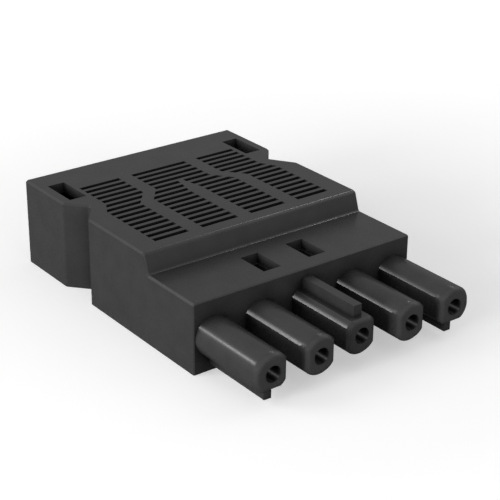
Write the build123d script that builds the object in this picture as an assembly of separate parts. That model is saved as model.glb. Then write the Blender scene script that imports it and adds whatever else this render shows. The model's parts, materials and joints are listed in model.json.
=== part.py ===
from build123d import *
import os

# Five-pole female installation connector with a moulded housing, in millimetres.
# While it is modelled, X runs along the row of sleeves, Y = 0 is the mating face with +Y to the cable end,
# and Z = 0 is the underside. The finished pieces are moved along Y to put the origin at the middle of the underside.

# Poles
POLES = 5
PITCH = 10.0
END_MARGIN = 4.0

# Housing
BODY_DEPTH = 56.0
BODY_HEIGHT = 17.1
FRONT_HEIGHT = 13.4
WALL = 1.9
ROOF = 2.0
STEP_FOOT_Y = 13.7
STEP_RUN = 1.2
STEP_ROUND = 0.9
STEP_HOLLOW = 0.5
CORNER_ROUND = 0.5
TOP_EDGE_BEVEL = 0.35
FRONT_EDGE_BEVEL = 0.2

# Notch in each side, placed from the rear
NOTCH_FROM_REAR = 23.2
NOTCH_LENGTH = 9.1
NOTCH_APEX_OFFSET = 5.1
NOTCH_DEPTH = 3.5
NOTCH_ROUND = 0.8

# Sleeves round the contacts
SLEEVE_LENGTH = 16.5
SHORT_SLEEVE_SETBACK = 1.45
SLEEVE_RADIUS = 3.65
SLEEVE_FLAT = 3.05
SLEEVE_AXIS_Z = 6.6
SLEEVE_RIM_BEVEL = 0.6
PIN_BORE_RADIUS = 1.5
PIN_BORE_DEPTH = 5.0
CODING_RIB_REACH = 5.25
CODING_RIB_WIDTH = 1.45
MIDDLE_RIB_WIDTH = 1.75
CODING_RIB_SETBACK = 1.4

# Ventilation slots: margins from the housing's ends and sides, then the columns, and where they shift, in rows
SLOT_ROWS = 15
SLOT_WIDTH = 1.1
SLOT_REAR_MARGIN = 10.25
SLOT_FRONT_MARGIN = 3.55
SLOT_SIDE_MARGIN_REAR = 6.25
SLOT_SIDE_MARGIN_FRONT = 4.5
OUTER_LENGTH_REAR = 8.75
OUTER_LENGTH_FRONT = 7.2
COLUMN_GAP_REAR = 2.8
COLUMN_GAP_FRONT = 2.95
CENTRE_REAR = 0.6
CENTRE_FRONT = 1.45
FULL_ROWS = 4
SHIFT_REAR_ROWS = 4.13
SHIFT_OUTER_ROWS = 4.59
SHIFT_FRONT_ROWS = 6.23

# Catch windows in the low front and openings at the rear corners
WINDOW_WIDTH = 3.8
WINDOW_Y = 3.2
WINDOW_LENGTH = 6.8
CORNER_OPENING_WIDTH = 3.5
CORNER_OPENING_LENGTH = 8.2
CORNER_OPENING_MARGIN = 5.4

# Base cover with its latch arms at the rear and its tongues at the front
COVER_THICKNESS = 1.8
COVER_GAP = 0.15
LATCH_THICKNESS = 1.6
LATCH_LENGTH = 6.0
LATCH_DROP = 3.6
LATCH_CATCH = 0.7
LATCH_GAP = 0.1
LEDGE_HEIGHT = 1.4
TONGUE_WIDTH = 6.0
TONGUE_REACH = 0.9
TONGUE_THICKNESS = 0.9
TONGUE_GAP = 0.1

# Contact carrier and conductor guide
CARRIER_GAP = 0.2
CARRIER_FRONT_WALL = 1.8
CARRIER_NOTCH_GAP = 1.9
CARRIER_FLOOR = 1.4
CARRIER_ROOF = 1.2
CHAMBER_WIDTH = 5.4
POCKET_DEPTH = 5.2
GUIDE_LENGTH = 2.6
GUIDE_HOLE_WIDTH = 4.4
GUIDE_HOLE_HEIGHT = 4.0
GUIDE_EDGE = 1.6

# Contacts and their springs
CONTACT_RADIUS = 1.9
CONTACT_BORE_RADIUS = 1.42
CONTACT_GAP = 0.1
CONTACT_BORE_DEPTH = 12.0
CONTACT_SLIT = 0.5
CONTACT_SLIT_LENGTH = 8.0
TAIL_SIDE_GAP = 0.3
TAIL_THICKNESS = 1.0
TAIL_SETBACK = 5.0
OVER_SPRING_THICKNESS = 0.2
OVER_SPRING_LENGTH = 5.5
OVER_SPRING_GAP = 0.05
OVER_SPRING_SETBACK = 1.0
SPRING_STRIP = 0.4
SPRING_SIDE_GAP = 0.4
SPRING_FRONT_GAP = 6.1
SPRING_SETBACK = 6.9
SPRING_BEND_RADIUS = 0.9
SPRING_TIP_GAP = 0.05
SPRING_LIP = 1.0

# Cable entry and clamp
CABLE_HOLE_RADIUS = 5.0
CLAMP_BORE_EXTRA = 0.3
CLAMP_REAR_GAP = 3.9
CLAMP_LENGTH = 5.0
CLAMP_SEAT_RISE = 1.1
CLAMP_EAR = 2.6
CLAMP_ROOF_GAP = 0.15
CRADLE_SIDE = 0.9
CRADLE_DROP = 3.0
SCREW_TO_BORE = 4.0
POST_HALF_WIDTH = 2.3

# Screws
SCREW_RADIUS = 1.2
SCREW_HOLE_GAP = 0.05
SCREW_CLEARANCE = 0.25
SCREW_HEAD_RADIUS = 2.1
SCREW_HEAD_HEIGHT = 1.0
SCREW_SLOT_DEPTH = 0.6
SCREW_SLOT_WIDTH = 0.5
CLAMP_SCREW_DEPTH = 5.5

# How far a cutter runs past a surface, how deep joined solids merge, and how near an edge must be to be picked
OVERRUN = 1.0
MERGE = 0.5
NEAR = 0.01
OUTSIDE = 60.0

# Sizes worked out from the above
HALF_WIDTH = ((POLES - 1) * PITCH) / 2 + END_MARGIN
STEP_TOP_Y = STEP_FOOT_Y + STEP_RUN
ROOF_UNDERSIDE = BODY_HEIGHT - ROOF
FRONT_UNDERSIDE = FRONT_HEIGHT - ROOF
REAR_INNER_Y = BODY_DEPTH - WALL
SIDE_INNER_X = HALF_WIDTH - WALL
NOTCH_FRONT_Y = BODY_DEPTH - NOTCH_FROM_REAR
NOTCH_REAR_Y = NOTCH_FRONT_Y + NOTCH_LENGTH
NOTCH_APEX_Y = NOTCH_FRONT_Y + NOTCH_APEX_OFFSET
SLOT_LAST_Y = BODY_DEPTH - SLOT_REAR_MARGIN
SLOT_FIRST_Y = STEP_TOP_Y + SLOT_FRONT_MARGIN
SLOT_PITCH = (SLOT_LAST_Y - SLOT_FIRST_Y) / (SLOT_ROWS - 1)
SHIFT_REAR_Y = SLOT_LAST_Y - SHIFT_REAR_ROWS * SLOT_PITCH
SHIFT_OUTER_Y = SLOT_LAST_Y - SHIFT_OUTER_ROWS * SLOT_PITCH
SHIFT_FRONT_Y = SLOT_LAST_Y - SHIFT_FRONT_ROWS * SLOT_PITCH
OUTER_END_REAR = HALF_WIDTH - SLOT_SIDE_MARGIN_REAR
OUTER_END_FRONT = HALF_WIDTH - SLOT_SIDE_MARGIN_FRONT
OUTER_START_REAR = OUTER_END_REAR - OUTER_LENGTH_REAR
OUTER_START_FRONT = OUTER_END_FRONT - OUTER_LENGTH_FRONT
INNER_REAR = OUTER_START_REAR - COLUMN_GAP_REAR
INNER_FRONT = OUTER_START_FRONT - COLUMN_GAP_FRONT
WINDOW_X = PITCH / 2
CORNER_OPENING_X = SIDE_INNER_X - CORNER_OPENING_WIDTH / 2
CORNER_OPENING_REAR_Y = BODY_DEPTH - CORNER_OPENING_MARGIN
LATCH_MIDDLE_Y = CORNER_OPENING_REAR_Y - CORNER_OPENING_LENGTH / 2
LATCH_TOP_Z = ROOF_UNDERSIDE - LATCH_DROP
LEDGE_LOW_Z = LATCH_TOP_Z + LATCH_GAP
LEDGE_TOP_Z = LEDGE_LOW_Z + LEDGE_HEIGHT
COVER_INSET = WALL + COVER_GAP
TONGUE_FRONT_Y = COVER_INSET - TONGUE_REACH - COVER_GAP
TONGUE_LOW_Z = COVER_THICKNESS - TONGUE_THICKNESS
CARRIER_FRONT_Y = WALL + CARRIER_GAP
CARRIER_REAR_Y = NOTCH_FRONT_Y - CARRIER_NOTCH_GAP
CARRIER_TOP_Z = FRONT_UNDERSIDE - CARRIER_GAP
CHAMBER_FRONT_Y = CARRIER_FRONT_Y + CARRIER_FRONT_WALL
CHAMBER_FLOOR_Z = COVER_THICKNESS + CARRIER_FLOOR
CHAMBER_TOP_Z = CARRIER_TOP_Z - CARRIER_ROOF
GUIDE_REAR_Y = CARRIER_REAR_Y + GUIDE_LENGTH
CONTACT_CHAMBER_RADIUS = CONTACT_RADIUS + OVER_SPRING_GAP + OVER_SPRING_THICKNESS + CONTACT_GAP
TAIL_WIDTH = 2 * (END_MARGIN - WALL - TAIL_SIDE_GAP)
TAIL_TOP_Z = SLEEVE_AXIS_Z + TAIL_THICKNESS / 2
TAIL_REAR_Y = CARRIER_REAR_Y - TAIL_SETBACK
SPRING_WIDTH = 2 * (END_MARGIN - WALL - SPRING_SIDE_GAP)
SPRING_FRONT_Y = CHAMBER_FRONT_Y + SPRING_FRONT_GAP
SPRING_REAR_Y = CARRIER_REAR_Y - SPRING_SETBACK
CABLE_AXIS_Z = (COVER_THICKNESS + ROOF_UNDERSIDE) / 2
CLAMP_BORE_RADIUS = CABLE_HOLE_RADIUS + CLAMP_BORE_EXTRA
CLAMP_REAR_Y = REAR_INNER_Y - CLAMP_REAR_GAP
CLAMP_FRONT_Y = CLAMP_REAR_Y - CLAMP_LENGTH
CLAMP_MIDDLE_Y = CLAMP_REAR_Y - CLAMP_LENGTH / 2
CLAMP_SEAT_Z = CABLE_AXIS_Z + CLAMP_SEAT_RISE
CLAMP_TOP_Z = ROOF_UNDERSIDE - CLAMP_ROOF_GAP
EAR_TOP_Z = CLAMP_SEAT_Z + CLAMP_EAR
CRADLE_HALF = CLAMP_BORE_RADIUS + CRADLE_SIDE
CRADLE_TOP_Z = CABLE_AXIS_Z - CRADLE_DROP
SCREW_X = CLAMP_BORE_RADIUS + SCREW_TO_BORE
CLAMP_BAR_HALF = SCREW_X + POST_HALF_WIDTH
CENTRE_Y = (BODY_DEPTH - SLEEVE_LENGTH) / 2


def pole_x(pole):
    """X of one pole, counted from 0 at the left."""
    return (pole - (POLES - 1) / 2) * PITCH


def is_middle(pole):
    """True for the pole in the middle of the row."""
    return pole == POLES // 2


def is_end(pole):
    """True for the first and the last pole."""
    return pole in (0, POLES - 1)


def sleeve_tip_y(pole):
    """Y of a sleeve's front end; the middle one stands back."""
    setback = SHORT_SLEEVE_SETBACK if is_middle(pole) else 0.0
    return setback - SLEEVE_LENGTH


def span(x_from, x_to, y_from, y_to, z_from, z_to):
    """A block between two values on each axis."""
    middle = ((x_from + x_to) / 2, (y_from + y_to) / 2, (z_from + z_to) / 2)
    return Pos(*middle) * Box(x_to - x_from, y_to - y_from, z_to - z_from)


def block_at(x, width, y_from, y_to, z_from, z_to):
    """A block of a given width about one X."""
    return span(x - width / 2, x + width / 2, y_from, y_to, z_from, z_to)


def rod_y(x, z, radius, y_from, y_to):
    """A round bar along Y."""
    turned = Pos(x, (y_from + y_to) / 2, z) * Rot(X=90)
    return turned * Cylinder(radius, y_to - y_from)


def rod_z(x, y, radius, z_from, z_to):
    """A round bar along Z."""
    return Pos(x, y, (z_from + z_to) / 2) * Cylinder(radius, z_to - z_from)


def plan(inset):
    """The housing seen from above, with a notch in each side, drawn in by an inset."""
    half = HALF_WIDTH - inset
    right = [
        (half, inset),
        (half, NOTCH_FRONT_Y - inset / 2),
        (half - NOTCH_DEPTH, NOTCH_APEX_Y),
        (half, NOTCH_REAR_Y + inset / 2),
        (half, BODY_DEPTH - inset),
    ]
    left = [(-x, y) for x, y in reversed(right)]
    return Polygon(*right, *left, align=None)


def side_profile(front_z, top_z, foot_y):
    """The stepped outline seen from the side, as a face in the YZ plane."""
    points = [
        (-OVERRUN, -OVERRUN),
        (-OVERRUN, front_z),
        (foot_y, front_z),
        (foot_y + STEP_RUN, top_z),
        (BODY_DEPTH + OVERRUN, top_z),
        (BODY_DEPTH + OVERRUN, -OVERRUN),
    ]
    return Plane.YZ * Polygon(*points, align=None)


def stepped_block(inset, front_z, top_z, foot_y, base_z):
    """A solid with the housing's plan and its stepped top."""
    column = Pos(0, 0, base_z) * extrude(plan(inset), amount=top_z - base_z)
    profile = extrude(side_profile(front_z, top_z, foot_y), amount=OUTSIDE, both=True)
    return column & profile


def upright_edges(shape, x_abs, y_at):
    """Vertical edges that stand at +-x and at a given y."""
    near = []
    for edge in shape.edges().filter_by(Axis.Z):
        centre = edge.center()
        if abs(abs(centre.X) - x_abs) < NEAR and abs(centre.Y - y_at) < NEAR:
            near.append(edge)
    return near


def shape_outer_edges(body):
    """Round the upright corners, the notch and the step, and bevel the top and front edges."""
    body = fillet(upright_edges(body, HALF_WIDTH - NOTCH_DEPTH, NOTCH_APEX_Y), NOTCH_ROUND)
    for y_at in (NOTCH_FRONT_Y, NOTCH_REAR_Y):
        body = fillet(upright_edges(body, HALF_WIDTH, y_at), NOTCH_ROUND)
    body = fillet(upright_edges(body, HALF_WIDTH, BODY_DEPTH), CORNER_ROUND)
    across = body.edges().filter_by(Axis.X)
    step_top = across.filter_by_position(Axis.Y, STEP_TOP_Y - NEAR, STEP_TOP_Y + NEAR)
    body = fillet(step_top, STEP_ROUND)
    across = body.edges().filter_by(Axis.X)
    step_foot = across.filter_by_position(Axis.Y, STEP_FOOT_Y - NEAR, STEP_FOOT_Y + NEAR)
    body = fillet(step_foot, STEP_HOLLOW)
    top_face = body.faces().filter_by(Axis.Z).sort_by(Axis.Z)[-1]
    rim = [edge for edge in top_face.edges() if edge.center().Y > STEP_TOP_Y + STEP_ROUND]
    body = chamfer(rim, TOP_EDGE_BEVEL)
    front = body.edges().filter_by_position(Axis.Y, -NEAR, NEAR)
    return chamfer([edge for edge in front if edge.center().Z > NEAR], FRONT_EDGE_BEVEL)


def column_outline(start_rear, start_front, end_rear, end_front, start_y, end_y):
    """One column of slots as an upright prism: it widens or moves outwards past the notch."""
    rear_y = SLOT_LAST_Y + SLOT_WIDTH
    front_y = SLOT_FIRST_Y - SLOT_WIDTH
    points = [
        (start_rear, rear_y),
        (end_rear, rear_y),
        (end_rear, end_y),
        (end_front, SHIFT_FRONT_Y),
        (end_front, front_y),
        (start_front, front_y),
        (start_front, SHIFT_FRONT_Y),
        (start_rear, start_y),
    ]
    return extrude(Polygon(*points, align=None), amount=OUTSIDE, both=True)


def slot_cutters():
    """The ventilation slots: rows of thin strips kept inside the columns, which join at the rear."""
    full_front_y = SLOT_LAST_Y - (FULL_ROWS - 1) * SLOT_PITCH - SLOT_WIDTH
    inner = column_outline(CENTRE_REAR, CENTRE_FRONT, INNER_REAR, INNER_FRONT, SHIFT_REAR_Y, SHIFT_REAR_Y)
    outer = column_outline(
        OUTER_START_REAR, OUTER_START_FRONT, OUTER_END_REAR, OUTER_END_FRONT, SHIFT_REAR_Y, SHIFT_OUTER_Y
    )
    joined = span(-INNER_REAR, INNER_REAR, full_front_y, SLOT_LAST_Y + SLOT_WIDTH, -OUTSIDE, OUTSIDE)
    columns = inner + outer + mirror(inner, Plane.YZ) + mirror(outer, Plane.YZ) + joined
    strips = []
    for row in range(SLOT_ROWS):
        y = SLOT_LAST_Y - row * SLOT_PITCH
        strips.append(columns & span(
            -HALF_WIDTH, HALF_WIDTH, y - SLOT_WIDTH / 2, y + SLOT_WIDTH / 2,
            ROOF_UNDERSIDE - OVERRUN, BODY_HEIGHT + OVERRUN,
        ))
    return strips


def bevel_tip(bar, tip_y):
    """Bevel the rim at a bar's front end."""
    rim = bar.edges().filter_by_position(Axis.Y, tip_y - NEAR, tip_y + NEAR)
    return chamfer(rim, SLEEVE_RIM_BEVEL)


def make_sleeve(pole):
    """One sleeve with its flats, bevelled rim and coding rib, solid inside."""
    x = pole_x(pole)
    tip_y = sleeve_tip_y(pole)
    open_side = SLEEVE_RADIUS + OVERRUN
    left = SLEEVE_FLAT if pole > 0 else open_side
    right = SLEEVE_FLAT if pole < POLES - 1 else open_side
    low = SLEEVE_FLAT if is_end(pole) else open_side
    high = SLEEVE_FLAT if is_middle(pole) else open_side
    flats = span(x - left, x + right, tip_y, WALL, SLEEVE_AXIS_Z - low, SLEEVE_AXIS_Z + high)
    rod = rod_y(x, SLEEVE_AXIS_Z, SLEEVE_RADIUS, tip_y, WALL)
    sleeve = bevel_tip(rod, tip_y) & bevel_tip(flats, tip_y)
    rib_front_y = tip_y + CODING_RIB_SETBACK
    rib_root = SLEEVE_FLAT - MERGE
    if is_middle(pole):
        sleeve += block_at(
            x, MIDDLE_RIB_WIDTH, rib_front_y, WALL, SLEEVE_AXIS_Z + rib_root, SLEEVE_AXIS_Z + CODING_RIB_REACH
        )
    if is_end(pole):
        sleeve += block_at(
            x, CODING_RIB_WIDTH, rib_front_y, WALL, SLEEVE_AXIS_Z - CODING_RIB_REACH, SLEEVE_AXIS_Z - rib_root
        )
    return sleeve


def make_housing():
    """The moulded housing: shell, latch ledges, sleeves, slots, windows and openings."""
    body = shape_outer_edges(stepped_block(0, FRONT_HEIGHT, BODY_HEIGHT, STEP_FOOT_Y, 0))
    body -= stepped_block(WALL, FRONT_UNDERSIDE, ROOF_UNDERSIDE, STEP_FOOT_Y + ROOF / 2, -OVERRUN)
    latch_y = (LATCH_MIDDLE_Y - LATCH_LENGTH / 2, LATCH_MIDDLE_Y + LATCH_LENGTH / 2)
    for side in (-1, 1):
        ledge_x = sorted((side * (SIDE_INNER_X - LATCH_CATCH), side * (SIDE_INNER_X + MERGE)))
        body += span(*ledge_x, *latch_y, LEDGE_LOW_Z, LEDGE_TOP_Z)
    for pole in range(POLES):
        body += make_sleeve(pole)
    for pole in range(POLES):
        x = pole_x(pole)
        chamber_y = sleeve_tip_y(pole) + PIN_BORE_DEPTH
        body -= rod_y(x, SLEEVE_AXIS_Z, PIN_BORE_RADIUS, sleeve_tip_y(pole) - OVERRUN, chamber_y + OVERRUN)
        body -= rod_y(x, SLEEVE_AXIS_Z, CONTACT_CHAMBER_RADIUS, chamber_y, WALL + OVERRUN)
    for side in (-1, 1):
        body -= block_at(
            side * WINDOW_X, WINDOW_WIDTH, WINDOW_Y, WINDOW_Y + WINDOW_LENGTH,
            FRONT_UNDERSIDE - OVERRUN, FRONT_HEIGHT + OVERRUN,
        )
        body -= block_at(
            side * CORNER_OPENING_X, CORNER_OPENING_WIDTH, CORNER_OPENING_REAR_Y - CORNER_OPENING_LENGTH,
            CORNER_OPENING_REAR_Y, LEDGE_TOP_Z, BODY_HEIGHT + OVERRUN,
        )
        body -= block_at(
            side * PITCH, TONGUE_WIDTH + 2 * TONGUE_GAP, TONGUE_FRONT_Y - TONGUE_GAP, WALL + OVERRUN,
            TONGUE_LOW_Z - TONGUE_GAP, COVER_THICKNESS + TONGUE_GAP,
        )
    for strip in slot_cutters():
        body -= strip
    return body - rod_y(0, CABLE_AXIS_Z, CABLE_HOLE_RADIUS, REAR_INNER_Y - OVERRUN, BODY_DEPTH + OVERRUN)


def make_base_cover():
    """The plate that closes the housing from below, with latch arms, tongues, a cable cradle and screw posts."""
    cover = extrude(plan(COVER_INSET), amount=COVER_THICKNESS)
    hook_outer = SIDE_INNER_X - COVER_GAP
    arm_outer = hook_outer - LATCH_CATCH
    arm_inner = arm_outer - LATCH_THICKNESS
    latch_y = (LATCH_MIDDLE_Y - LATCH_LENGTH / 2, LATCH_MIDDLE_Y + LATCH_LENGTH / 2)
    base_z = COVER_THICKNESS - MERGE
    for side in (-1, 1):
        arm_x = sorted((side * arm_inner, side * arm_outer))
        hook_x = sorted((side * arm_inner, side * hook_outer))
        cover += span(*arm_x, *latch_y, base_z, LATCH_TOP_Z)
        cover += span(*hook_x, *latch_y, LATCH_TOP_Z - 2 * LATCH_CATCH, LATCH_TOP_Z)
        cover += block_at(
            side * PITCH, TONGUE_WIDTH, TONGUE_FRONT_Y, COVER_INSET + MERGE, TONGUE_LOW_Z, COVER_THICKNESS
        )
        cover += block_at(
            side * SCREW_X, 2 * POST_HALF_WIDTH, CLAMP_FRONT_Y, CLAMP_REAR_Y, base_z, CLAMP_SEAT_Z
        )
    cover += block_at(0, 2 * CRADLE_HALF, CLAMP_FRONT_Y, CLAMP_REAR_Y, base_z, CRADLE_TOP_Z)
    cover -= rod_y(0, CABLE_AXIS_Z, CLAMP_BORE_RADIUS, CLAMP_FRONT_Y - OVERRUN, CLAMP_REAR_Y + OVERRUN)
    for side in (-1, 1):
        cover -= rod_z(
            side * SCREW_X, CLAMP_MIDDLE_Y, SCREW_RADIUS + SCREW_HOLE_GAP,
            CLAMP_SEAT_Z - CLAMP_SCREW_DEPTH, CLAMP_SEAT_Z + OVERRUN,
        )
    return cover


def make_carrier():
    """The insulating block with one chamber for each contact, open to the rear, and a pocket under each window."""
    half = SIDE_INNER_X - CARRIER_GAP
    block = span(-half, half, CARRIER_FRONT_Y, CARRIER_REAR_Y, COVER_THICKNESS, CARRIER_TOP_Z)
    for pole in range(POLES):
        x = pole_x(pole)
        block -= block_at(
            x, CHAMBER_WIDTH, CHAMBER_FRONT_Y, CARRIER_REAR_Y + OVERRUN, CHAMBER_FLOOR_Z, CHAMBER_TOP_Z
        )
        neck_radius = CONTACT_RADIUS + CONTACT_GAP
        block -= rod_y(x, SLEEVE_AXIS_Z, neck_radius, CARRIER_FRONT_Y - OVERRUN, CHAMBER_FRONT_Y + OVERRUN)
    for side in (-1, 1):
        block -= block_at(
            side * WINDOW_X, WINDOW_WIDTH, WINDOW_Y, WINDOW_Y + WINDOW_LENGTH,
            CARRIER_TOP_Z - POCKET_DEPTH, CARRIER_TOP_Z + OVERRUN,
        )
    return block


def make_conductor_guide():
    """The plate behind the carrier with an entry for each conductor, closer together than the contacts."""
    half = SIDE_INNER_X - CARRIER_GAP - NOTCH_DEPTH
    plate = span(-half, half, CARRIER_REAR_Y, GUIDE_REAR_Y, COVER_THICKNESS, CARRIER_TOP_Z)
    last_x = half - GUIDE_EDGE - GUIDE_HOLE_WIDTH / 2
    for pole in range(POLES):
        x = pole_x(pole) * last_x / pole_x(POLES - 1)
        plate -= block_at(
            x, GUIDE_HOLE_WIDTH, CARRIER_REAR_Y - OVERRUN, GUIDE_REAR_Y + OVERRUN,
            SLEEVE_AXIS_Z - GUIDE_HOLE_HEIGHT / 2, SLEEVE_AXIS_Z + GUIDE_HOLE_HEIGHT / 2,
        )
    return plate


def make_contact(pole):
    """A turned socket with a slit mouth and a flat tail for the conductor."""
    x = pole_x(pole)
    front_y = sleeve_tip_y(pole) + PIN_BORE_DEPTH + CONTACT_GAP
    contact = rod_y(x, SLEEVE_AXIS_Z, CONTACT_RADIUS, front_y, CHAMBER_FRONT_Y)
    contact -= rod_y(x, SLEEVE_AXIS_Z, CONTACT_BORE_RADIUS, front_y - OVERRUN, front_y + CONTACT_BORE_DEPTH)
    for turn in (0, 90):
        slit = Box(CONTACT_SLIT, 2 * CONTACT_SLIT_LENGTH, 3 * CONTACT_RADIUS)
        contact -= Pos(x, front_y, SLEEVE_AXIS_Z) * Rot(Y=turn) * slit
    tail = block_at(x, TAIL_WIDTH, CHAMBER_FRONT_Y, TAIL_REAR_Y, TAIL_TOP_Z - TAIL_THICKNESS, TAIL_TOP_Z)
    return contact + tail


def make_over_spring(pole):
    """The steel ring that presses a socket's slit mouth together, split along its top."""
    x = pole_x(pole)
    y_from = sleeve_tip_y(pole) + PIN_BORE_DEPTH + CONTACT_GAP + OVER_SPRING_SETBACK
    y_to = y_from + OVER_SPRING_LENGTH
    inner = CONTACT_RADIUS + OVER_SPRING_GAP
    outer = inner + OVER_SPRING_THICKNESS
    ring = rod_y(x, SLEEVE_AXIS_Z, outer, y_from, y_to)
    ring -= rod_y(x, SLEEVE_AXIS_Z, inner, y_from - OVERRUN, y_to + OVERRUN)
    return ring - block_at(
        x, CONTACT_SLIT, y_from - OVERRUN, y_to + OVERRUN, SLEEVE_AXIS_Z + inner / 2, SLEEVE_AXIS_Z + outer + OVERRUN
    )


def make_clamp_spring(pole):
    """A hairpin of steel strip: it lies under the chamber's top and presses on the contact's tail."""
    upper_z = CHAMBER_TOP_Z - SPRING_STRIP / 2
    lower_z = upper_z - 2 * SPRING_BEND_RADIUS
    bend_y = SPRING_FRONT_Y + SPRING_BEND_RADIUS
    tip_z = TAIL_TOP_Z + SPRING_TIP_GAP + SPRING_STRIP
    upper_leg = Line((SPRING_REAR_Y, upper_z), (bend_y, upper_z))
    bend = ThreePointArc((bend_y, upper_z), (SPRING_FRONT_Y, (upper_z + lower_z) / 2), (bend_y, lower_z))
    lower_leg = Line((bend_y, lower_z), (SPRING_REAR_Y - SPRING_LIP, tip_z))
    strip = trace(Curve() + [upper_leg, bend, lower_leg], line_width=SPRING_STRIP)
    return Pos(pole_x(pole), 0, 0) * extrude(Plane.YZ * strip, amount=SPRING_WIDTH / 2, both=True)


def make_cable_clamp():
    """The arched bar that holds the cable down on the base cover's cradle."""
    arch_half = SCREW_X - SCREW_HEAD_RADIUS - SCREW_CLEARANCE
    bar = block_at(0, 2 * CLAMP_BAR_HALF, CLAMP_FRONT_Y, CLAMP_REAR_Y, CLAMP_SEAT_Z, EAR_TOP_Z)
    bar += block_at(0, 2 * arch_half, CLAMP_FRONT_Y, CLAMP_REAR_Y, CLAMP_SEAT_Z, CLAMP_TOP_Z)
    bar -= rod_y(0, CABLE_AXIS_Z, CLAMP_BORE_RADIUS, CLAMP_FRONT_Y - OVERRUN, CLAMP_REAR_Y + OVERRUN)
    for side in (-1, 1):
        bar -= rod_z(
            side * SCREW_X, CLAMP_MIDDLE_Y, SCREW_RADIUS + SCREW_CLEARANCE,
            CLAMP_SEAT_Z - OVERRUN, EAR_TOP_Z + OVERRUN,
        )
    return bar


def make_clamp_screw(side):
    """One slotted pan-head screw of the cable clamp, left (-1) or right (1)."""
    x = side * SCREW_X
    head_top_z = EAR_TOP_Z + SCREW_HEAD_HEIGHT
    tip_z = CLAMP_SEAT_Z - CLAMP_SCREW_DEPTH + SCREW_CLEARANCE
    screw = rod_z(x, CLAMP_MIDDLE_Y, SCREW_HEAD_RADIUS, EAR_TOP_Z, head_top_z)
    screw += rod_z(x, CLAMP_MIDDLE_Y, SCREW_RADIUS, tip_z, EAR_TOP_Z)
    slot = Box(2 * (SCREW_HEAD_RADIUS + OVERRUN), SCREW_SLOT_WIDTH, 2 * SCREW_SLOT_DEPTH)
    return screw - Pos(x, CLAMP_MIDDLE_Y, head_top_z) * slot


def build_all():
    """Every sub-part by its name."""
    parts = {
        "housing": make_housing(),
        "base_cover": make_base_cover(),
        "contact_carrier": make_carrier(),
        "conductor_guide": make_conductor_guide(),
        "cable_clamp": make_cable_clamp(),
        "clamp_screws": Compound([make_clamp_screw(side) for side in (-1, 1)]),
    }
    for pole in range(POLES):
        parts[f"contact_{pole + 1}"] = make_contact(pole)
        parts[f"over_spring_{pole + 1}"] = make_over_spring(pole)
        parts[f"clamp_spring_{pole + 1}"] = make_clamp_spring(pole)
    return parts


os.makedirs("parts", exist_ok=True)
for name, shape in build_all().items():
    export_step(Pos(0, -CENTRE_Y, 0) * shape, f"parts/{name}.step")
    print(name, round(shape.volume, 1))
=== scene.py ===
"""Dress the five-pole installation connector: finishes, small repeated detail, light and camera."""
import json
import logging
import math
from dataclasses import dataclass
from enum import Enum

import bmesh
import bpy
from mathutils import Matrix, Vector


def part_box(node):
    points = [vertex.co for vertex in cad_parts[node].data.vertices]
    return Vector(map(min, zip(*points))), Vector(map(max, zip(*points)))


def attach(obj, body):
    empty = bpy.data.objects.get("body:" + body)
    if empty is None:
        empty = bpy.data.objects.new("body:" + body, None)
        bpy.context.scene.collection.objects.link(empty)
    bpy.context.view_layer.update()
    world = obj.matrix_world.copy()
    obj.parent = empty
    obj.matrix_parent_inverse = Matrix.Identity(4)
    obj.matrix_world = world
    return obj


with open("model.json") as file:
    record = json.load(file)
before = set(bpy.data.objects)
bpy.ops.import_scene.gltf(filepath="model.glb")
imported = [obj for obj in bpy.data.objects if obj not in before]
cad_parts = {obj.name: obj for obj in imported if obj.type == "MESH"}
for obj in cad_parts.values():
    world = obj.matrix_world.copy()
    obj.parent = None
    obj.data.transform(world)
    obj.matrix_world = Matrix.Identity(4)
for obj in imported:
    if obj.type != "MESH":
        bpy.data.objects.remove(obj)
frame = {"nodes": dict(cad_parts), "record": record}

log = logging.getLogger("connector")

Node = bpy.types.Node
Socket = bpy.types.NodeSocket
Tree = bpy.types.NodeTree
Colour = tuple[float, float, float]

MM = 0.001
POLES = 5
ROOT = "root"
IMAGE_WIDTH_PX = 500
SENSOR_MM = 36.0
MERGE_DISTANCE = 0.0001 * MM


class Slot(Enum):
    """The record's material slots for the cover's plastic and the screws' steel."""

    COVER = "cover_plastic"
    SCREW = "screw_steel"


class Reach(Enum):
    """What a lamp's light does: all of it, only light and shade, or only a glint on what is glossy."""

    FULL = "full"
    SHADE = "shade"
    GLINT = "glint"


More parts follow.
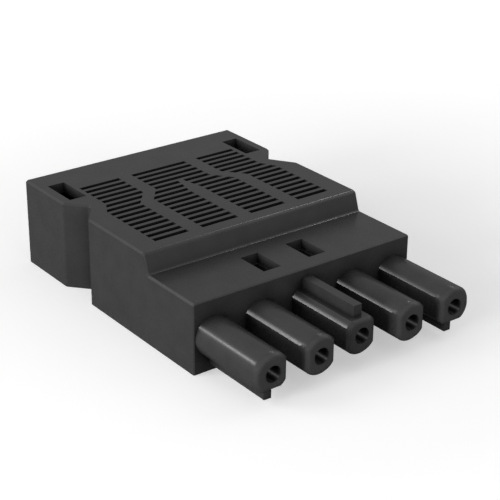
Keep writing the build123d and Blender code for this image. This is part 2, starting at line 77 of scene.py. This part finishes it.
@dataclass(frozen=True)
class SleeveNose:
    """How the finish changes at the sleeves: rounder noses, painted light on their tips as a lighter colour,
    and dull bores.
    """

    round_radius: float = 1.4 * MM
    round_from_y: float = -34.2 * MM
    # Where the painted light on the tips begins, and how much it lightens the colour.
    painted_light_from_y: float = -35.5 * MM
    painted_light_lift: float = 1.30
    bore_radius: float = 1.5 * MM
    bore_dulling: float = 0.12
    pitch: float = 10.0 * MM
    axis_z: float = 6.6 * MM
    blend: float = 0.4 * MM
    samples: int = 8

    def apply(self, tree: Tree, where: Node, colour: Socket, rough: Socket) -> tuple[Socket, Socket, Socket]:
        """Round the noses, paint light on their tips by lightening the colour, and vary the roughness over
        the sleeves.

        Args:
            tree: The material's node tree.
            where: Its texture coordinate node.
            colour: The colour so far.
            rough: The roughness so far.

        Returns:
            The new colour, roughness and normal sockets.
        """
        apart = tree.nodes.new("ShaderNodeSeparateXYZ")
        tree.links.new(where.outputs["Object"], apart.inputs["Vector"])
        along = apart.outputs["Y"]
        away = self.from_axis(tree, apart)
        ahead = self.rise(tree, along, self.round_from_y, -self.blend)
        reach = self.rise(tree, away, self.bore_radius, self.round_radius)
        both = calculate(tree, "MULTIPLY", ahead, reach)
        rounded = tree.nodes.new("ShaderNodeBevel")
        rounded.samples = self.samples
        tree.links.new(calculate(tree, "MULTIPLY", both, self.round_radius), rounded.inputs["Radius"])
        # Painted light: the tips, away from the bore, get a lighter colour in place of light falling on them.
        at_tip = self.rise(tree, along, self.painted_light_from_y, -self.blend)
        off_bore = self.rise(tree, away, self.bore_radius, self.blend)
        painted_light_mask = calculate(tree, "MULTIPLY", at_tip, off_bore)
        lift = tree.nodes.new("ShaderNodeHueSaturation")
        tree.links.new(colour, lift.inputs["Color"])
        tree.links.new(spread(tree, painted_light_mask, 1.0, self.painted_light_lift).outputs["Result"], lift.inputs["Value"])
        inside = self.rise(tree, away, self.bore_radius + self.blend / 2, -self.blend / 4)
        dulled = calculate(tree, "MULTIPLY_ADD", inside, self.bore_dulling, rough)
        return lift.outputs["Color"], dulled, rounded.outputs["Normal"]

    def from_axis(self, tree: Tree, apart: Node) -> Socket:
        """Measure the distance to the nearest sleeve's axis.

        Args:
            tree: The material's node tree.
            apart: The node that splits the position.

        Returns:
            The distance's socket.
        """
        across = calculate(tree, "WRAP", apart.outputs["X"], self.pitch / 2, -self.pitch / 2)
        above = calculate(tree, "SUBTRACT", apart.outputs["Z"], self.axis_z)
        flat = tree.nodes.new("ShaderNodeCombineXYZ")
        tree.links.new(across, flat.inputs["X"])
        tree.links.new(above, flat.inputs["Y"])
        away = tree.nodes.new("ShaderNodeVectorMath")
        away.operation = "LENGTH"
        tree.links.new(flat.outputs["Vector"], away.inputs[0])
        return away.outputs["Value"]

    @staticmethod
    def rise(tree: Tree, value: Socket, start: float, length: float) -> Socket:
        """Rise from 0 to 1 over a stretch.

        Args:
            tree: The material's node tree.
            value: The measured value.
            start: Where the result leaves 0.
            length: How far on it reaches 1; below zero it looks the other way.

        Returns:
            The result's socket.
        """
        return spread(tree, value, 0.0, 1.0, (start, start + length)).outputs["Result"]


@dataclass(frozen=True)
class Shade:
    """Painted shade: how a colour darkens deep in slots, openings and corners, where less light reaches."""

    deepest: float
    own_walls_only: bool = True
    reach: float = 4.0 * MM
    closed_at: float = 0.38
    open_at: float = 0.95
    samples: int = 8

    def apply(self, tree: Tree, colour: Socket) -> Socket:
        """Paint shade: darken a colour by how closed in the place is.

        Args:
            tree: The material's node tree.
            colour: The colour so far.

        Returns:
            The new colour's socket.
        """
        cavity = tree.nodes.new("ShaderNodeAmbientOcclusion")
        cavity.samples = self.samples
        cavity.only_local = self.own_walls_only
        cavity.inputs["Distance"].default_value = self.reach
        opened = spread(tree, cavity.outputs["AO"], self.deepest, 1.0, (self.closed_at, self.open_at))
        deep = tree.nodes.new("ShaderNodeHueSaturation")
        tree.links.new(opened.outputs["Result"], deep.inputs["Value"])
        tree.links.new(colour, deep.inputs["Color"])
        return deep.outputs["Color"]


@dataclass(frozen=True)
class Moulded:
    """Black injection-moulded plastic with a fine eroded texture and faint flow marks."""

    name: str
    colour: Colour
    roughness: float
    smoother: float = 0.04
    rougher: float = 0.05
    mottle: float = 0.07
    cloud_per_m: float = 260.0
    cloud_detail: float = 4.0
    cloud_range: tuple[float, float] = (0.35, 0.65)
    scuff_per_m: float = 900.0
    scuff_detail: float = 6.0
    grain_per_m: float = 5200.0
    grain_detail: float = 2.0
    grain_strength: float = 0.55
    grain_depth: float = 0.004 * MM
    # Painted shade deep in the moulding's own slots, openings and corners.
    shade: Shade = Shade(0.20)
    nose: SleeveNose | None = None

    def build(self) -> bpy.types.Material:
        """Build the material.

        Returns:
            The finished node material.
        """
        mat, tree, shader = new_material(self.name)
        where = tree.nodes.new("ShaderNodeTexCoord")
        cloud = noise(tree, where, self.cloud_per_m, self.cloud_detail)
        grain = noise(tree, where, self.grain_per_m, self.grain_detail)
        scuff = noise(tree, where, self.scuff_per_m, self.scuff_detail)
        dark = tuple(c * (1.0 - self.mottle) for c in self.colour)
        light = tuple(c * (1.0 + self.mottle) for c in self.colour)
        tint = ramp(tree, cloud.outputs["Fac"], self.cloud_range, dark, light)
        smoothest, roughest = self.roughness - self.smoother, self.roughness + self.rougher
        rough = spread(tree, scuff.outputs["Fac"], smoothest, roughest)
        bump = relief(tree, grain, self.grain_strength, self.grain_depth)
        # The colour gets painted shade where the moulding closes in on itself.
        skin = self.shade.apply(tree, tint.outputs["Color"]), rough.outputs["Result"]
        if self.nose:
            *skin, normal = self.nose.apply(tree, where, *skin)
            tree.links.new(normal, bump.inputs["Normal"])
        tree.links.new(skin[0], shader.inputs["Base Color"])
        tree.links.new(skin[1], shader.inputs["Roughness"])
        tree.links.new(bump.outputs["Normal"], shader.inputs["Normal"])
        return mat


@dataclass(frozen=True)
class WorkedMetal:
    """Bare metal with fine tool marks along one axis: turned brass, rolled strip or plated steel."""

    name: str
    colour: Colour
    roughness: float
    marks_per_m: tuple[float, float, float]
    smoother: float = 0.08
    rougher: float = 0.10
    marks_detail: float = 3.0
    marks_strength: float = 0.4
    marks_depth: float = 0.006 * MM
    dulling: float = 0.82
    cloud_per_m: float = 700.0
    cloud_detail: float = 3.0
    cloud_range: tuple[float, float] = (0.3, 0.7)
    # Painted shade: the metal's colour darkens where the other parts close it in.
    shade: Shade = Shade(0.15, own_walls_only=False)

    def build(self) -> bpy.types.Material:
        """Build the material.

        Returns:
            The finished node material.
        """
        mat, tree, shader = new_material(self.name)
        shader.inputs["Metallic"].default_value = 1.0
        where = tree.nodes.new("ShaderNodeTexCoord")
        stretch = tree.nodes.new("ShaderNodeMapping")
        stretch.inputs["Scale"].default_value = self.marks_per_m
        tree.links.new(where.outputs["Object"], stretch.inputs["Vector"])
        marks = tree.nodes.new("ShaderNodeTexNoise")
        marks.inputs["Scale"].default_value = 1.0
        marks.inputs["Detail"].default_value = self.marks_detail
        tree.links.new(stretch.outputs["Vector"], marks.inputs["Vector"])
        cloud = noise(tree, where, self.cloud_per_m, self.cloud_detail)
        dull = tuple(c * self.dulling for c in self.colour)
        tint = ramp(tree, cloud.outputs["Fac"], self.cloud_range, dull, self.colour)
        # The tinted colour gets painted shade in closed-in places.
        tree.links.new(self.shade.apply(tree, tint.outputs["Color"]), shader.inputs["Base Color"])
        smoothest, roughest = self.roughness - self.smoother, self.roughness + self.rougher
        rough = spread(tree, marks.outputs["Fac"], smoothest, roughest)
        tree.links.new(rough.outputs["Result"], shader.inputs["Roughness"])
        bump = relief(tree, marks, self.marks_strength, self.marks_depth)
        tree.links.new(bump.outputs["Normal"], shader.inputs["Normal"])
        return mat


@dataclass(frozen=True)
class StagePaper:
    """Pale paper under the object, which keeps its shadow and fades to white further off."""

    name: str = "pale_paper"
    roughness: float = 0.9
    seen_colour: float = 0.80
    lit_colour: float = 0.18
    lift: float = 0.40
    far_lift: float = 1.0
    fade_from: float = 0.06
    fade_to: float = 0.40

    def build(self) -> bpy.types.Material:
        """Build the material.

        Returns:
            The finished node material.
        """
        mat, tree, shader = new_material(self.name)
        shader.inputs["Roughness"].default_value = self.roughness
        shader.inputs["Specular IOR Level"].default_value = 0.0
        seen = tree.nodes.new("ShaderNodeLightPath")
        paint = spread(tree, seen.outputs["Is Camera Ray"], self.lit_colour, self.seen_colour)
        tree.links.new(paint.outputs["Result"], shader.inputs["Base Color"])
        where = tree.nodes.new("ShaderNodeTexCoord")
        away = tree.nodes.new("ShaderNodeVectorMath")
        away.operation = "LENGTH"
        tree.links.new(where.outputs["Object"], away.inputs[0])
        fade = spread(tree, away.outputs["Value"], self.lift, self.far_lift, (self.fade_from, self.fade_to))
        glow = tree.nodes.new("ShaderNodeEmission")
        strength = calculate(tree, "MULTIPLY", seen.outputs["Is Camera Ray"], fade.outputs["Result"])
        tree.links.new(strength, glow.inputs["Strength"])
        both = tree.nodes.new("ShaderNodeAddShader")
        out = tree.nodes["Material Output"]
        tree.links.new(shader.outputs["BSDF"], both.inputs[0])
        tree.links.new(glow.outputs["Emission"], both.inputs[1])
        tree.links.new(both.outputs["Shader"], out.inputs["Surface"])
        return mat


def new_material(name: str) -> tuple[bpy.types.Material, Tree, Node]:
    """Make an empty node material.

    Args:
        name: The material's name.

    Returns:
        The material, its node tree and its Principled shader.
    """
    mat = bpy.data.materials.new(name)
    mat.use_nodes = True
    tree = mat.node_tree
    return mat, tree, tree.nodes["Principled BSDF"]


def noise(tree: Tree, where: Node, scale: float, detail: float) -> Node:
    """Add a noise texture on object coordinates.

    Args:
        tree: The material's node tree.
        where: Its texture coordinate node.
        scale: Features per metre.
        detail: Octaves of finer noise.

    Returns:
        The noise node.
    """
    node = tree.nodes.new("ShaderNodeTexNoise")
    node.inputs["Scale"].default_value = scale
    node.inputs["Detail"].default_value = detail
    tree.links.new(where.outputs["Object"], node.inputs["Vector"])
    return node


def ramp(tree: Tree, factor: Socket, ends: tuple[float, float], low: Colour, high: Colour) -> Node:
    """Add a colour ramp between two colours.

    Args:
        tree: The material's node tree.
        factor: The socket that it follows.
        ends: Where the first colour ends and the second starts.
        low: The first colour.
        high: The second colour.

    Returns:
        The ramp node.
    """
    node = tree.nodes.new("ShaderNodeValToRGB")
    for element, position, colour in zip(node.color_ramp.elements, ends, (low, high)):
        element.position = position
        element.color = (*colour, 1.0)
    tree.links.new(factor, node.inputs["Fac"])
    return node


def relief(tree: Tree, height: Node, strength: float, depth: float) -> Node:
    """Add a bump that follows a noise texture.

    Args:
        tree: The material's node tree.
        height: The noise node.
        strength: The bump's strength.
        depth: The height of its peaks.

    Returns:
        The bump node.
    """
    node = tree.nodes.new("ShaderNodeBump")
    node.inputs["Strength"].default_value = strength
    node.inputs["Distance"].default_value = depth
    tree.links.new(height.outputs["Fac"], node.inputs["Height"])
    return node


def calculate(tree: Tree, operation: str, *values: float | Socket) -> Socket:
    """Add one step of arithmetic.

    Args:
        tree: The material's node tree.
        operation: The math node's operation.
        values: Numbers or sockets, in the node's order.

    Returns:
        The result's socket.
    """
    node = tree.nodes.new("ShaderNodeMath")
    node.operation = operation
    for socket, value in zip(node.inputs, values):
        if isinstance(value, Socket):
            tree.links.new(value, socket)
        else:
            socket.default_value = value
    return node.outputs["Value"]


def spread(tree: Tree, value: Socket, low: float, high: float,
           source: tuple[float, float] = (0.0, 1.0)) -> Node:
    """Map a value from one range onto another.

    Args:
        tree: The material's node tree.
        value: The socket that gives the value.
        low: Result at the source range's start.
        high: Result at its end.
        source: The source range.

    Returns:
        The map range node.
    """
    node = tree.nodes.new("ShaderNodeMapRange")
    node.inputs["From Min"].default_value, node.inputs["From Max"].default_value = source
    node.inputs["To Min"].default_value = low
    node.inputs["To Max"].default_value = high
    tree.links.new(value, node.inputs["Value"])
    return node


class Recipe:
    """A geometry node tree with named size inputs, ending in realised and dressed instances."""

    def __init__(self, name: str, inputs: dict[str, float | int], material: bpy.types.Material) -> None:
        """Start the tree.

        Args:
            name: The tree's name.
            inputs: Named sizes; whole numbers become integer inputs.
            material: The material of the result.
        """
        self.tree = bpy.data.node_groups.new(name, "GeometryNodeTree")
        self.values = inputs
        self.material = material
        for key, value in inputs.items():
            kind = "NodeSocketInt" if isinstance(value, int) else "NodeSocketFloat"
            self.tree.interface.new_socket(key, in_out="INPUT", socket_type=kind)
        self.tree.interface.new_socket("Geometry", in_out="OUTPUT", socket_type="NodeSocketGeometry")
        self.source = self.add("NodeGroupInput")

    def add(self, kind: str, **settings: object) -> Node:
        """Add a node and set its own properties.

        Args:
            kind: The node's type.
            settings: Properties of the node.

        Returns:
            The node.
        """
        node = self.tree.nodes.new(kind)
        for key, value in settings.items():
            setattr(node, key, value)
        return node

    def link(self, start: Socket, end: Socket) -> None:
        """Link two sockets."""
        self.tree.links.new(start, end)

    def size(self, name: str) -> Socket:
        """Give the named input's socket."""
        return self.source.outputs[name]

    def vector(self, x: float | Socket = 0.0, y: float | Socket = 0.0, z: float | Socket = 0.0) -> Socket:
        """Combine numbers or sockets into a vector.

        Args:
            x: The first part.
            y: The second part.
            z: The third part.

        Returns:
            The vector's socket.
        """
        node = self.add("ShaderNodeCombineXYZ")
        for socket, value in zip(node.inputs, (x, y, z)):
            if isinstance(value, Socket):
                self.link(value, socket)
            else:
                socket.default_value = value
        return node.outputs["Vector"]

    def finish(self, geometry: Socket) -> None:
        """Realise the instances, set the material and join the output.

        Args:
            geometry: The socket that holds the result so far.
        """
        real = self.add("GeometryNodeRealizeInstances")
        coat = self.add("GeometryNodeSetMaterial")
        coat.inputs["Material"].default_value = self.material
        out = self.add("NodeGroupOutput")
        self.link(geometry, real.inputs["Geometry"])
        self.link(real.outputs["Geometry"], coat.inputs["Geometry"])
        self.link(coat.outputs["Geometry"], out.inputs["Geometry"])

    def make_mesh(self, name: str) -> bpy.types.Object:
        """Evaluate the tree once and keep its result as a plain mesh object.

        Args:
            name: The piece's name.

        Returns:
            The new object, at the origin.
        """
        carrier = bpy.data.objects.new(name + "_recipe", bpy.data.meshes.new(name + "_recipe"))
        bpy.context.scene.collection.objects.link(carrier)
        modifier = carrier.modifiers.new("recipe", "NODES")
        modifier.node_group = self.tree
        for item in self.tree.interface.items_tree:
            if item.in_out == "INPUT" and item.name in self.values:
                modifier[item.identifier] = self.values[item.name]
        graph = bpy.context.evaluated_depsgraph_get()
        mesh = bpy.data.meshes.new_from_object(carrier.evaluated_get(graph))
        bpy.data.objects.remove(carrier)
        piece = bpy.data.objects.new(name, mesh)
        bpy.context.scene.collection.objects.link(piece)
        return piece


def seat(piece: bpy.types.Object) -> bpy.types.Object:
    """Clean a new piece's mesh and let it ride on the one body.

    Args:
        piece: The new piece.

    Returns:
        The same piece.
    """
    shape = bmesh.new()
    shape.from_mesh(piece.data)
    bmesh.ops.remove_doubles(shape, verts=shape.verts, dist=MERGE_DISTANCE)
    bmesh.ops.recalc_face_normals(shape, faces=shape.faces)
    shape.to_mesh(piece.data)
    shape.free()
    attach(piece, ROOT)
    log.info("%s: %d faces", piece.name, len(piece.data.polygons))
    return piece


def dress(nodes: list[str], material: bpy.types.Material) -> None:
    """Give carried-over solids a finish.

    Args:
        nodes: Names of the solids' nodes.
        material: Their finish.
    """
    for name in nodes:
        mesh = frame["nodes"][name].data
        mesh.materials.clear()
        mesh.materials.append(material)
        log.info("%s: %s", name, material.name)


@dataclass
class Housing:
    """The moulded housing with its sleeves, slots, windows and openings."""

    plastic: Moulded = Moulded("housing_black", (0.040, 0.040, 0.041), 0.27, nose=SleeveNose())

    def build(self) -> None:
        """Dress the housing."""
        dress(["housing"], self.plastic.build())


@dataclass
class Cover:
    """The base cover and the cable clamp, with ejector marks and cable ridges."""

    plastic: Moulded = Moulded("cover_black", (0.036, 0.036, 0.037), 0.5)
    mark_radius: float = 1.6 * MM
    mark_height: float = 0.04 * MM
    mark_lift: float = 0.01 * MM
    mark_sides: int = 40
    mark_columns: int = 3
    mark_rows: int = 2
    mark_span_x: float = 30.0 * MM
    mark_span_y: float = 17.0 * MM
    mark_middle_y: float = -3.0 * MM
    ridge_count: int = 4
    ridge_radius: float = 0.14 * MM
    ridge_pitch: float = 1.15 * MM
    ridge_sides: int = 10
    clamp_bore_radius: float = 5.3 * MM
    ridge_sweep_deg: float = 96.0
    ridge_steps: int = 28

    def build(self) -> None:
        """Dress both pieces and add what repeats on them."""
        material = self.plastic.build()
        dress(["base_cover", "cable_clamp"], material)
        self.ejector_marks(material)
        self.cable_ridges(material)

    def ejector_marks(self, material: bpy.types.Material) -> None:
        """Add the round marks that the mould's ejector pins leave on the underside.

        Args:
            material: The cover's plastic.
        """
        low, _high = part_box("base_cover")
        recipe = Recipe("ejector_marks", {
            "Radius": self.mark_radius, "Height": self.mark_height, "Span X": self.mark_span_x,
            "Span Y": self.mark_span_y, "Columns": self.mark_columns, "Rows": self.mark_rows,
        }, material)
        grid = recipe.add("GeometryNodeMeshGrid")
        sockets = {"Size X": "Span X", "Size Y": "Span Y", "Vertices X": "Columns", "Vertices Y": "Rows"}
        for socket, name in sockets.items():
            recipe.link(recipe.size(name), grid.inputs[socket])
        disc = recipe.add("GeometryNodeMeshCylinder")
        disc.inputs["Vertices"].default_value = self.mark_sides
        recipe.link(recipe.size("Radius"), disc.inputs["Radius"])
        recipe.link(recipe.size("Height"), disc.inputs["Depth"])
        place = recipe.add("GeometryNodeInstanceOnPoints")
        recipe.link(grid.outputs["Mesh"], place.inputs["Points"])
        recipe.link(disc.outputs["Mesh"], place.inputs["Instance"])
        move = recipe.add("GeometryNodeTransform")
        move.inputs["Translation"].default_value = (0.0, self.mark_middle_y, low.z + self.mark_lift)
        recipe.link(place.outputs["Instances"], move.inputs["Geometry"])
        recipe.finish(move.outputs["Geometry"])
        seat(recipe.make_mesh("ejector_marks"))

    def cable_ridges(self, material: bpy.types.Material) -> None:
        """Add the gripping ridges across the clamp's arch.

        Args:
            material: The clamp's plastic.
        """
        low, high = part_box("cable_clamp")
        _x, _y, cable_z = next(m["pos_m"] for m in frame["record"]["mounts"] if m["name"] == "cable_entry")
        half_sweep = math.radians(self.ridge_sweep_deg) / 2
        recipe = Recipe("cable_ridges", {
            "Bore Radius": self.clamp_bore_radius, "Ridge Radius": self.ridge_radius,
            "Pitch": self.ridge_pitch, "Count": self.ridge_count,
        }, material)
        arc = recipe.add("GeometryNodeCurveArc")
        arc.inputs["Resolution"].default_value = self.ridge_steps
        arc.inputs["Start Angle"].default_value = math.pi / 2 - half_sweep
        arc.inputs["Sweep Angle"].default_value = 2 * half_sweep
        recipe.link(recipe.size("Bore Radius"), arc.inputs["Radius"])
        stroke = recipe.add("GeometryNodeCurvePrimitiveCircle")
        stroke.inputs["Resolution"].default_value = self.ridge_sides
        recipe.link(recipe.size("Ridge Radius"), stroke.inputs["Radius"])
        tube = recipe.add("GeometryNodeCurveToMesh")
        tube.inputs["Fill Caps"].default_value = True
        recipe.link(arc.outputs["Curve"], tube.inputs["Curve"])
        recipe.link(stroke.outputs["Curve"], tube.inputs["Profile Curve"])
        stand = recipe.add("GeometryNodeTransform")
        stand.inputs["Rotation"].default_value = (math.pi / 2, 0.0, 0.0)
        recipe.link(tube.outputs["Mesh"], stand.inputs["Geometry"])
        row = recipe.add("GeometryNodeMeshLine")
        recipe.link(recipe.size("Count"), row.inputs["Count"])
        recipe.link(recipe.vector(y=recipe.size("Pitch")), row.inputs["Offset"])
        place = recipe.add("GeometryNodeInstanceOnPoints")
        recipe.link(row.outputs["Mesh"], place.inputs["Points"])
        recipe.link(stand.outputs["Geometry"], place.inputs["Instance"])
        move = recipe.add("GeometryNodeTransform")
        first_y = (low.y + high.y) / 2 - self.ridge_pitch * (self.ridge_count - 1) / 2
        move.inputs["Translation"].default_value = (0.0, first_y, cable_z)
        recipe.link(place.outputs["Instances"], move.inputs["Geometry"])
        recipe.finish(move.outputs["Geometry"])
        seat(recipe.make_mesh("cable_ridges"))


@dataclass
class Insulator:
    """The contact carrier and the conductor guide inside."""

    plastic: Moulded = Moulded("carrier_black", (0.022, 0.022, 0.023), 0.55)

    def build(self) -> None:
        """Dress both inner mouldings."""
        dress(["contact_carrier", "conductor_guide"], self.plastic.build())


@dataclass
class Contacts:
    """The brass sockets with their steel springs, one set for each pole."""

    brass: WorkedMetal = WorkedMetal("turned_brass", (0.70, 0.53, 0.27), 0.32, (400.0, 9000.0, 400.0))
    steel: WorkedMetal = WorkedMetal("rolled_strip", (0.52, 0.52, 0.53), 0.34, (9000.0, 500.0, 500.0))

    def build(self) -> None:
        """Dress the contacts and the springs."""
        poles = range(1, POLES + 1)
        springs = [f"{kind}_{pole}" for kind in ("over_spring", "clamp_spring") for pole in poles]
        dress([f"contact_{pole}" for pole in poles], self.brass.build())
        dress(springs, self.steel.build())


@dataclass
class Screws:
    """The clamp's two screws, with their threads."""

    zinc: WorkedMetal = WorkedMetal("zinc_plate", (0.60, 0.61, 0.62), 0.38, (2500.0, 2500.0, 900.0))
    screw_count: int = 2
    shank_radius: float = 1.2 * MM
    head_height: float = 1.0 * MM
    thread_pitch: float = 0.9 * MM
    thread_depth: float = 0.10 * MM
    tip_gap: float = 0.4 * MM
    thread_sides: int = 4
    steps_per_turn: int = 20

    def build(self) -> None:
        """Dress the screws and add a thread to each shank."""
        material = self.zinc.build()
        dress(["clamp_screws"], material)
        self.threads("clamp_screws", material)

    def threads(self, node: str, material: bpy.types.Material) -> None:
        """Add the helical ridge of a pair of screws.

        Args:
            node: The screws' node.
            material: The screws' plating.
        """
        low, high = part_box(node)
        length = high.z - low.z - self.head_height - 2 * self.tip_gap
        turns = length / self.thread_pitch
        base_z = low.z + self.tip_gap
        head_radius = (high.y - low.y) / 2
        recipe = Recipe(node + "_thread", {
            "Radius": self.shank_radius, "Turns": turns, "Length": length, "Depth": self.thread_depth,
            "Apart": high.x - low.x - 2 * head_radius, "Screws": self.screw_count,
        }, material)
        helix = recipe.add("GeometryNodeCurveSpiral")
        helix.inputs["Resolution"].default_value = self.steps_per_turn
        sockets = {"Rotations": "Turns", "Start Radius": "Radius", "End Radius": "Radius", "Height": "Length"}
        for socket, name in sockets.items():
            recipe.link(recipe.size(name), helix.inputs[socket])
        crest = recipe.add("GeometryNodeCurvePrimitiveCircle")
        crest.inputs["Resolution"].default_value = self.thread_sides
        recipe.link(recipe.size("Depth"), crest.inputs["Radius"])
        ridge = recipe.add("GeometryNodeCurveToMesh")
        ridge.inputs["Fill Caps"].default_value = True
        recipe.link(helix.outputs["Curve"], ridge.inputs["Curve"])
        recipe.link(crest.outputs["Curve"], ridge.inputs["Profile Curve"])
        pair = recipe.add("GeometryNodeMeshLine")
        recipe.link(recipe.size("Screws"), pair.inputs["Count"])
        recipe.link(recipe.vector(x=recipe.size("Apart")), pair.inputs["Offset"])
        place = recipe.add("GeometryNodeInstanceOnPoints")
        recipe.link(pair.outputs["Mesh"], place.inputs["Points"])
        recipe.link(ridge.outputs["Mesh"], place.inputs["Instance"])
        move = recipe.add("GeometryNodeTransform")
        first = (low.x + head_radius, (low.y + high.y) / 2, base_z)
        move.inputs["Translation"].default_value = first
        recipe.link(place.outputs["Instances"], move.inputs["Geometry"])
        recipe.finish(move.outputs["Geometry"])
        seat(recipe.make_mesh(node + "_thread"))


@dataclass(frozen=True)
class Lamp:
    """One soft lamp, placed by its bearing from +Y towards +X and its height above the horizon."""

    name: str
    bearing_deg: float
    elevation_deg: float
    distance: float
    size: float
    watts: float
    reach: Reach = Reach.FULL

    def place(self, aim: Vector) -> Vector:
        """Work out where the lamp hangs.

        Args:
            aim: The point it faces.

        Returns:
            Its position.
        """
        bearing, elevation = math.radians(self.bearing_deg), math.radians(self.elevation_deg)
        level = math.cos(elevation)
        way = Vector((math.sin(bearing) * level, math.cos(bearing) * level, math.sin(elevation)))
        return aim + self.distance * way

    def build(self, aim: Vector) -> None:
        """Hang the lamp.

        Args:
            aim: The point it faces.
        """
        data = bpy.data.lights.new(self.name, "AREA")
        data.shape = "DISK"
        data.size = self.size
        data.energy = self.watts
        lamp = bpy.data.objects.new(self.name, data)
        if self.reach is Reach.SHADE:
            lamp.visible_glossy = False
        if self.reach is Reach.GLINT:
            data.use_shadow = False
            # Rays sent out from the gloss would be stopped on their way, so only the lamp is sampled.
            data.cycles.use_multiple_importance_sampling = False
            # Light that a glint sends on to other faces would show there as bright specks.
            data.cycles.max_bounces = 0
            lamp.visible_diffuse = False
        lamp.location = self.place(aim)
        lamp.rotation_euler = (aim - lamp.location).to_track_quat("-Z", "Y").to_euler()
        bpy.context.scene.collection.objects.link(lamp)


@dataclass
class Studio:
    """Pale floor, soft lamps and the camera that took the picture."""

    lamps: tuple[Lamp, ...] = (
        Lamp("low_glint", -42.0, 26.0, 3.00, 0.10, 7.80, Reach.GLINT),
        Lamp("rim_glint", 57.0, 44.0, 3.00, 0.10, 4.00, Reach.GLINT),
        Lamp("rear_left", -65.0, 27.0, 0.60, 0.30, 1.05, Reach.SHADE),
        Lamp("left", -100.0, 12.0, 0.60, 0.25, 2.75, Reach.SHADE),
        Lamp("right", 100.0, 38.0, 0.60, 0.45, 0.35),
        Lamp("front", 180.0, 15.0, 0.60, 0.25, 0.80, Reach.SHADE),
    )
    floor_size: float = 1.6
    floor_drop: float = 0.03 * MM
    azimuth_deg: float = -37.21
    elevation_deg: float = 24.90
    roll_deg: float = 0.50
    distance: float = 0.26541
    shift_right: float = 0.76 * MM
    shift_up: float = -2.88 * MM
    aim: tuple[float, float, float] = (0.0, -4.75 * MM, 8.0 * MM)
    focal_px: float = 1455.66
    nearest: float = 10.0 * MM
    world_level: float = 0.31

    def build(self) -> None:
        """Make the floor, the lamps, the world and the camera."""
        self.floor()
        self.world()
        for lamp in self.lamps:
            lamp.build(Vector(self.aim))
        self.camera()

    def floor(self) -> None:
        """Lay the pale paper under the object."""
        mesh = bpy.data.meshes.new("floor")
        half = self.floor_size / 2
        signs = ((-1, -1), (1, -1), (1, 1), (-1, 1))
        mesh.from_pydata([(x * half, y * half, -self.floor_drop) for x, y in signs], [], [(0, 1, 2, 3)])
        mesh.materials.append(StagePaper().build())
        floor = bpy.data.objects.new("floor", mesh)
        bpy.context.scene.collection.objects.link(floor)

    def world(self) -> None:
        """White to the camera and a dim even light elsewhere."""
        world = bpy.data.worlds.new("studio")
        bpy.context.scene.world = world
        world.use_nodes = True
        tree = world.node_tree
        paint = tree.nodes["Background"]
        seen = tree.nodes.new("ShaderNodeLightPath")
        level = spread(tree, seen.outputs["Is Camera Ray"], self.world_level, 1.0)
        tree.links.new(level.outputs["Result"], paint.inputs["Strength"])
        paint.inputs["Color"].default_value = (1.0, 1.0, 1.0, 1.0)

    def camera(self) -> None:
        """Place the camera at the picture's own viewpoint."""
        angles = (self.azimuth_deg, self.elevation_deg, self.roll_deg)
        azimuth, elevation, roll = (math.radians(angle) for angle in angles)
        out = math.cos(elevation)
        back = Vector((math.sin(azimuth) * out, -math.cos(azimuth) * out, math.sin(elevation)))
        level = Vector((math.cos(azimuth), math.sin(azimuth), 0.0))
        upright = back.cross(level)
        right = math.cos(roll) * level + math.sin(roll) * upright
        up = math.cos(roll) * upright - math.sin(roll) * level
        turn = Matrix((right, up, back)).transposed()
        data = bpy.data.cameras.new("camera")
        data.sensor_width = SENSOR_MM
        data.lens = self.focal_px / IMAGE_WIDTH_PX * SENSOR_MM
        data.clip_start = self.nearest
        camera = bpy.data.objects.new("camera", data)
        place = Vector(self.aim) + turn @ Vector((-self.shift_right, -self.shift_up, self.distance))
        camera.matrix_world = Matrix.Translation(place) @ turn.to_4x4()
        bpy.context.scene.collection.objects.link(camera)
        bpy.context.scene.camera = camera


def main() -> None:
    """Build and dress every sub-assembly, then light and frame it."""
    logging.basicConfig(level=logging.INFO, format="%(message)s")
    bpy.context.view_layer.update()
    bpy.context.scene.view_settings.view_transform = "Standard"
    for part in (Housing(), Cover(), Insulator(), Contacts(), Screws(), Studio()):
        part.build()
        log.info("%s done", type(part).__name__)


if __name__ == "__main__":
    main()
